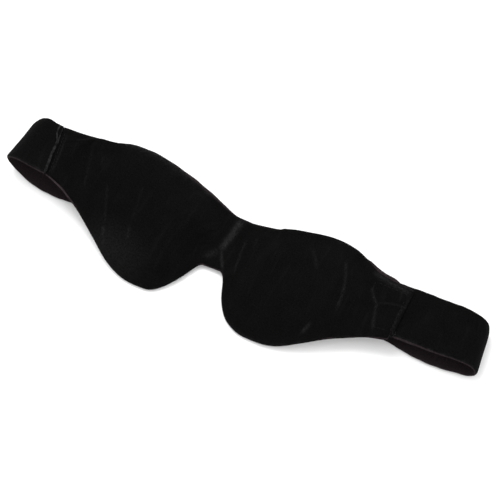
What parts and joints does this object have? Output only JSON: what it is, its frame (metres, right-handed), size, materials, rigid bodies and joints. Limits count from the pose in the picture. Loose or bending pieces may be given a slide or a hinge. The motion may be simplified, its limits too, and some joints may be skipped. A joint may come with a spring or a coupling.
{
  "type": "padded blindfold",
  "caption": "Padded two-eye velvet blindfold lying on its closed, lined strap, with a hook-and-loop fastening.",
  "frame": {"origin": "on the underside of the back strap, straight behind the nose bridge", "axes": "+X along the mask towards its fastening tab, +Y towards the forehead edge, +Z out of the front face"},
  "size_m": [0.278, 0.074, 0.02],
  "materials": {
    "velvet": "black crushed velvet",
    "lining": "brushed, very dark red-brown",
    "foam": "soft grey foam",
    "tape": "black hook-and-loop tape",
    "thread": "black sewing thread"
  },
  "bodies": {
    "mask_left": {"front_velvet_left": "velvet", "back_lining_left": "lining", "eye_pad_left": "foam", "seam_stitch_left": "thread", "strap_velvet_front_left": "velvet", "strap_lining_front_left": "lining"},
    "mask_right": {"front_velvet_right": "velvet", "back_lining_right": "lining", "eye_pad_right": "foam", "loop_patch": "tape", "box_stitch_right": "thread"},
    "strap_fold_left": {"strap_velvet_fold_left": "velvet", "strap_lining_fold_left": "lining"},
    "strap_back": {"strap_velvet_back": "velvet", "strap_lining_back": "lining"},
    "strap_fold_right": {"strap_velvet_fold_right": "velvet", "strap_lining_fold_right": "lining"},
    "strap_tip": {"strap_velvet_tip": "velvet", "strap_lining_tip": "lining", "hook_patch": "tape", "box_stitch_tip": "thread"}
  },
  "joints": [
    {"name": "bridge_fold", "type": "hinge", "parent": "mask_left", "child": "mask_right", "pos_m": [0, 0, 0.0041], "axis": [0, -1, 0], "range_deg": [0, 150]},
    {"name": "left_fold_upper", "type": "hinge", "parent": "mask_left", "child": "strap_fold_left", "pos_m": [-0.12607, 0, 0.01707], "axis": [0, 1, 0], "range_deg": [0, 90]},
    {"name": "left_fold_lower", "type": "hinge", "parent": "strap_fold_left", "child": "strap_back", "pos_m": [-0.12607, 0, 0.00293], "axis": [0, 1, 0], "range_deg": [0, 90]},
    {"name": "right_fold_lower", "type": "hinge", "parent": "strap_back", "child": "strap_fold_right", "pos_m": [0.14695, 0, 0.00205], "axis": [0, 1, 0], "range_deg": [0, 90]},
    {"name": "right_fold_upper", "type": "hinge", "parent": "strap_fold_right", "child": "strap_tip", "pos_m": [0.14695, 0, 0.01195], "axis": [0, 1, 0], "range_deg": [0, 90]}
  ],
  "couplings": [
    {"joint": "left_fold_lower", "follows": "left_fold_upper", "ratio": 1},
    {"joint": "right_fold_lower", "follows": "left_fold_upper", "ratio": 1},
    {"joint": "right_fold_upper", "follows": "left_fold_upper", "ratio": 1}
  ]
}
